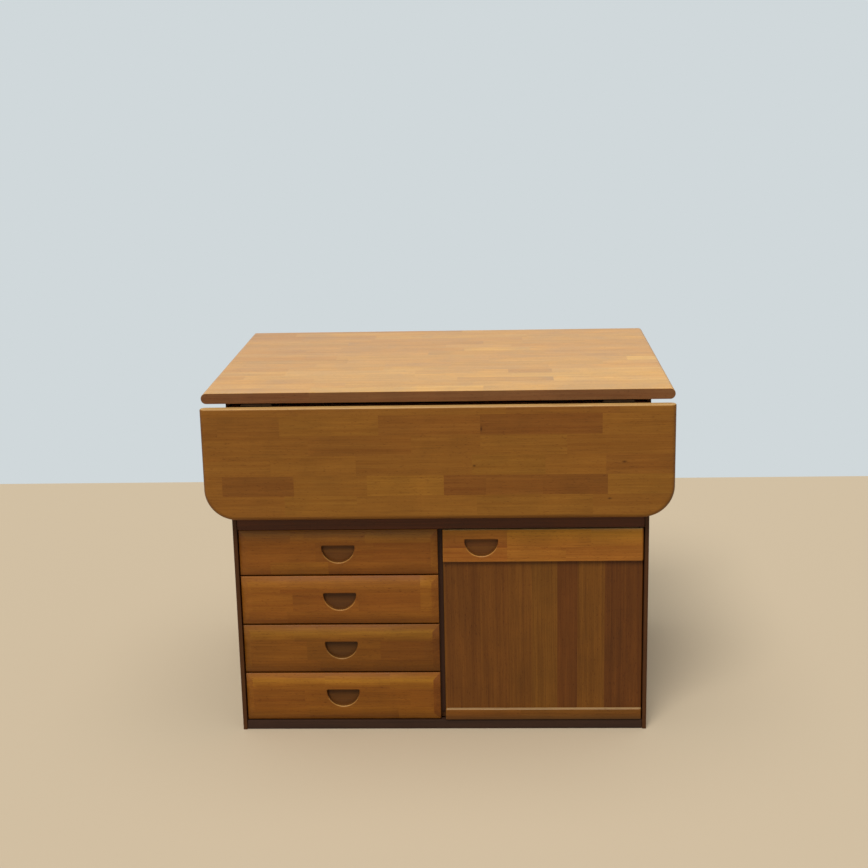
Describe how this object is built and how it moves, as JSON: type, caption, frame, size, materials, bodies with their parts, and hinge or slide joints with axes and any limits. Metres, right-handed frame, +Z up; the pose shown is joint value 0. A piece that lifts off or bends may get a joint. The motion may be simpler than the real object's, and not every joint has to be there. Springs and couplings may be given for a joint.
{
  "type": "kitchen island",
  "caption": "Free-standing kitchen island: laminated wood top, front drop leaf held up by pull-out bars, a stack of drawers and a cupboard with a pivot-hung door.",
  "frame": {"origin": "on the floor, under the middle of the island's box with the leaf hanging", "axes": "+X along the front to the viewer's right, +Y from the front to the back, +Z up"},
  "size_m": [1.1, 0.831, 0.86],
  "materials": {
    "laminated_top": "laminated hardwood strips, satin lacquer",
    "front_wood": "honey-brown lacquered hardwood",
    "panel_wood": "darker lacquered hardwood strips, upright grain",
    "dark_wood": "dark brown stain, satin",
    "box_wood": "pale unstained wood",
    "steel": "blackened steel"
  },
  "bodies": {
    "carcass": {"top_board": "laminated_top", "side_panel_left": "dark_wood", "side_panel_right": "dark_wood", "back_panel": "dark_wood", "plinth_rail": "dark_wood", "bottom_board": "dark_wood", "centre_divider": "dark_wood", "deck_board": "dark_wood", "front_rail": "dark_wood", "fascia_panel": "dark_wood", "top_rail_back": "dark_wood", "shelf_board": "dark_wood", "shelf_cleat_left": "dark_wood", "shelf_cleat_right": "dark_wood", "hinge_fixed_left": "steel", "hinge_fixed_right": "steel", "hinge_pin_left": "steel", "hinge_pin_right": "steel", "bar_guide_left": "dark_wood", "bar_guide_right": "dark_wood", "drawer_1_runner_left": "dark_wood", "drawer_1_runner_right": "dark_wood", "drawer_2_runner_left": "dark_wood", "drawer_2_runner_right": "dark_wood", "drawer_3_runner_left": "dark_wood", "drawer_3_runner_right": "dark_wood", "drawer_4_runner_left": "dark_wood", "drawer_4_runner_right": "dark_wood", "door_pivot_pin_top": "steel", "door_pivot_pin_bottom": "steel", "door_catch": "steel"},
    "leaf": {"leaf_board": "laminated_top", "hinge_moving_left": "steel", "hinge_moving_right": "steel"},
    "support_bar_left": {"support_bar_left": "steel"},
    "support_bar_right": {"support_bar_right": "steel"},
    "drawer_1": {"drawer_1_front": "front_wood", "drawer_1_side_left": "box_wood", "drawer_1_side_right": "box_wood", "drawer_1_back": "box_wood", "drawer_1_bottom": "box_wood"},
    "drawer_2": {"drawer_2_front": "front_wood", "drawer_2_side_left": "box_wood", "drawer_2_side_right": "box_wood", "drawer_2_back": "box_wood", "drawer_2_bottom": "box_wood"},
    "drawer_3": {"drawer_3_front": "front_wood", "drawer_3_side_left": "box_wood", "drawer_3_side_right": "box_wood", "drawer_3_back": "box_wood", "drawer_3_bottom": "box_wood"},
    "drawer_4": {"drawer_4_front": "front_wood", "drawer_4_side_left": "box_wood", "drawer_4_side_right": "box_wood", "drawer_4_back": "box_wood", "drawer_4_bottom": "box_wood"},
    "door": {"door_top_rail": "front_wood", "door_panel": "panel_wood", "door_bottom_rail": "front_wood"}
  },
  "joints": [
    {"name": "leaf_hinge", "type": "hinge", "parent": "carcass", "child": "leaf", "pos_m": [0, -0.385, 0.8295], "axis": [-1, 0, 0], "range_deg": [0, 90]},
    {"name": "support_bar_left_slide", "type": "slide", "parent": "carcass", "child": "support_bar_left", "axis": [0, -1, 0], "range_m": [0, 0.22]},
    {"name": "support_bar_right_slide", "type": "slide", "parent": "carcass", "child": "support_bar_right", "axis": [0, -1, 0], "range_m": [0, 0.22]},
    {"name": "drawer_1_slide", "type": "slide", "parent": "carcass", "child": "drawer_1", "axis": [0, -1, 0], "range_m": [0, 0.38]},
    {"name": "drawer_2_slide", "type": "slide", "parent": "carcass", "child": "drawer_2", "axis": [0, -1, 0], "range_m": [0, 0.38]},
    {"name": "drawer_3_slide", "type": "slide", "parent": "carcass", "child": "drawer_3", "axis": [0, -1, 0], "range_m": [0, 0.38]},
    {"name": "drawer_4_slide", "type": "slide", "parent": "carcass", "child": "drawer_4", "axis": [0, -1, 0], "range_m": [0, 0.38]},
    {"name": "door_hinge", "type": "hinge", "parent": "carcass", "child": "door", "pos_m": [0.475, -0.3505, 0.025], "axis": [0, 0, 1], "range_deg": [0, 105]}
  ]
}
